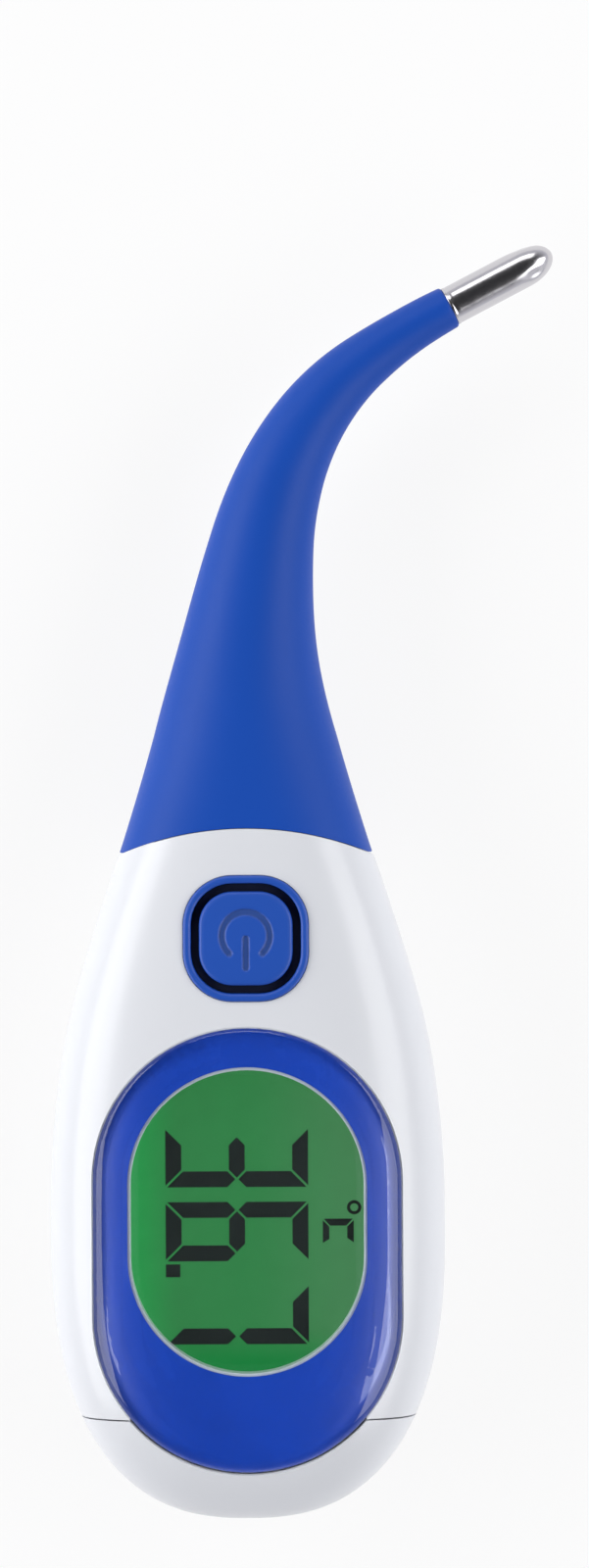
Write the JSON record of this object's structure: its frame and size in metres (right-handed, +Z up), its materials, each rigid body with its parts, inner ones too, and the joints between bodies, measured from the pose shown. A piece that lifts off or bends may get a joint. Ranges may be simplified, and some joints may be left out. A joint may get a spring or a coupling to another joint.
{
  "type": "digital thermometer",
  "caption": "Digital thermometer with a wide white housing, a clear display, a power button and a long flexible stem ending in a plated probe.",
  "frame": {"origin": "middle of the flat on the back that it lies on, under the widest part of the housing", "axes": "+Z up out of the display, +Y along the housing from the end cap to the stem, +X to the side the stem bends to at rest"},
  "size_m": [0.0518, 0.1297, 0.021],
  "materials": {
    "white_abs": "satin moulded white plastic",
    "blue_stem_rubber": "satin soft blue elastomer",
    "clear_acrylic": "polished clear plastic",
    "blue_print": "printed blue under the lens",
    "silver_frame": "smooth silver-white plastic",
    "lcd_glass": "thin polished glass",
    "polariser_film": "thin tinted film",
    "lcd_dark": "dark display segments",
    "light_guide_green": "glowing green light guide",
    "white_film": "white reflector film",
    "blue_button": "satin blue plastic",
    "navy_membrane": "dark blue rubber",
    "black_rubber": "black rubber",
    "circuit_laminate": "green solder mask on laminate",
    "black_epoxy": "moulded black epoxy",
    "ceramic_parts": "fired ceramic",
    "steel": "plain steel",
    "plated_metal": "polished nickel plate",
    "brass": "plain brass",
    "natural_nylon": "natural nylon",
    "seal_silicone": "grey silicone",
    "lead_insulation": "enamelled wire",
    "sensor_epoxy": "cured epoxy"
  },
  "bodies": {
    "housing": {"front_shell": "white_abs", "rear_shell": "white_abs", "lens": "clear_acrylic", "lens_mask": "blue_print", "lens_gasket": "black_rubber", "front_polariser": "polariser_film", "lcd_front_glass": "lcd_glass", "lcd_rear_glass": "lcd_glass", "rear_polariser": "polariser_film", "lcd_digits": "lcd_dark", "light_guide": "light_guide_green", "backlight_leds": "white_film", "reflector": "white_film", "zebra_strips": "black_rubber", "lcd_frame": "silver_frame", "button_ring": "blue_button", "button_membrane": "navy_membrane", "switch_case": "black_epoxy", "circuit_board": "circuit_laminate", "board_screws": "steel", "controller_chip": "black_epoxy", "crystal": "steel", "resistors_and_capacitors": "ceramic_parts", "coin_cell": "steel", "battery_tray": "natural_nylon", "positive_contact": "plated_metal", "negative_contact": "plated_metal", "buzzer_plate": "brass", "buzzer_ceramic": "ceramic_parts", "neck_insert": "natural_nylon", "stem_root": "blue_stem_rubber", "sensor_leads_0": "lead_insulation"},
    "button": {"button_cap": "blue_button", "switch_plunger": "natural_nylon"},
    "end_cap": {"end_cap": "white_abs", "end_cap_seal": "seal_silicone"},
    "stem_1": {"stem_link_1": "blue_stem_rubber", "sensor_leads_1": "lead_insulation"},
    "stem_2": {"stem_link_2": "blue_stem_rubber", "sensor_leads_2": "lead_insulation"},
    "stem_3": {"stem_link_3": "blue_stem_rubber", "sensor_leads_3": "lead_insulation"},
    "stem_4": {"stem_link_4": "blue_stem_rubber", "sensor_leads_4": "lead_insulation"},
    "stem_5": {"stem_link_5": "blue_stem_rubber", "sensor_leads_5": "lead_insulation"},
    "stem_6": {"stem_link_6": "blue_stem_rubber", "sensor_leads_6": "lead_insulation", "probe_cap": "plated_metal", "thermistor": "sensor_epoxy", "tip_filling": "sensor_epoxy"}
  },
  "joints": [
    {"name": "stem_bend_1", "type": "hinge", "parent": "housing", "child": "stem_1", "pos_m": [0, 0.0598, 0.0102], "axis": [0, 0, 1], "range_deg": [0, 20.8], "stiffness_Nm_per_rad": 0.008, "springref_deg": 10.4},
    {"name": "stem_bend_2", "type": "hinge", "parent": "stem_1", "child": "stem_2", "pos_m": [0.00242, 0.07298, 0.0102], "axis": [0, 0, 1], "range_deg": [0, 20.8], "stiffness_Nm_per_rad": 0.008, "springref_deg": 10.4},
    {"name": "stem_bend_3", "type": "hinge", "parent": "stem_2", "child": "stem_3", "pos_m": [0.00462, 0.07878, 0.0102], "axis": [0, 0, 1], "range_deg": [0, 20.8], "stiffness_Nm_per_rad": 0.008, "springref_deg": 10.4},
    {"name": "stem_bend_4", "type": "hinge", "parent": "stem_3", "child": "stem_4", "pos_m": [0.00726, 0.08314, 0.0102], "axis": [0, 0, 1], "range_deg": [0, 20.8], "stiffness_Nm_per_rad": 0.008, "springref_deg": 10.4},
    {"name": "stem_bend_5", "type": "hinge", "parent": "stem_4", "child": "stem_5", "pos_m": [0.01038, 0.08665, 0.0102], "axis": [0, 0, 1], "range_deg": [0, 20.8], "stiffness_Nm_per_rad": 0.008, "springref_deg": 10.4},
    {"name": "stem_bend_6", "type": "hinge", "parent": "stem_5", "child": "stem_6", "pos_m": [0.01606, 0.09109, 0.0102], "axis": [0, 0, 1], "range_deg": [0, 20.8], "stiffness_Nm_per_rad": 0.008, "springref_deg": 10.4},
    {"name": "button_press", "type": "slide", "parent": "housing", "child": "button", "axis": [0, 0, -1], "range_m": [0, 0.0005], "stiffness_N_per_m": 1200},
    {"name": "end_cap_slide", "type": "slide", "parent": "housing", "child": "end_cap", "axis": [0, -1, 0], "range_m": [0, 0.03]}
  ],
  "couplings": [
    {"joint": "stem_bend_2", "follows": "stem_bend_1", "ratio": 1},
    {"joint": "stem_bend_3", "follows": "stem_bend_1", "ratio": 1},
    {"joint": "stem_bend_4", "follows": "stem_bend_1", "ratio": 1},
    {"joint": "stem_bend_5", "follows": "stem_bend_1", "ratio": 1},
    {"joint": "stem_bend_6", "follows": "stem_bend_1", "ratio": 1}
  ]
}
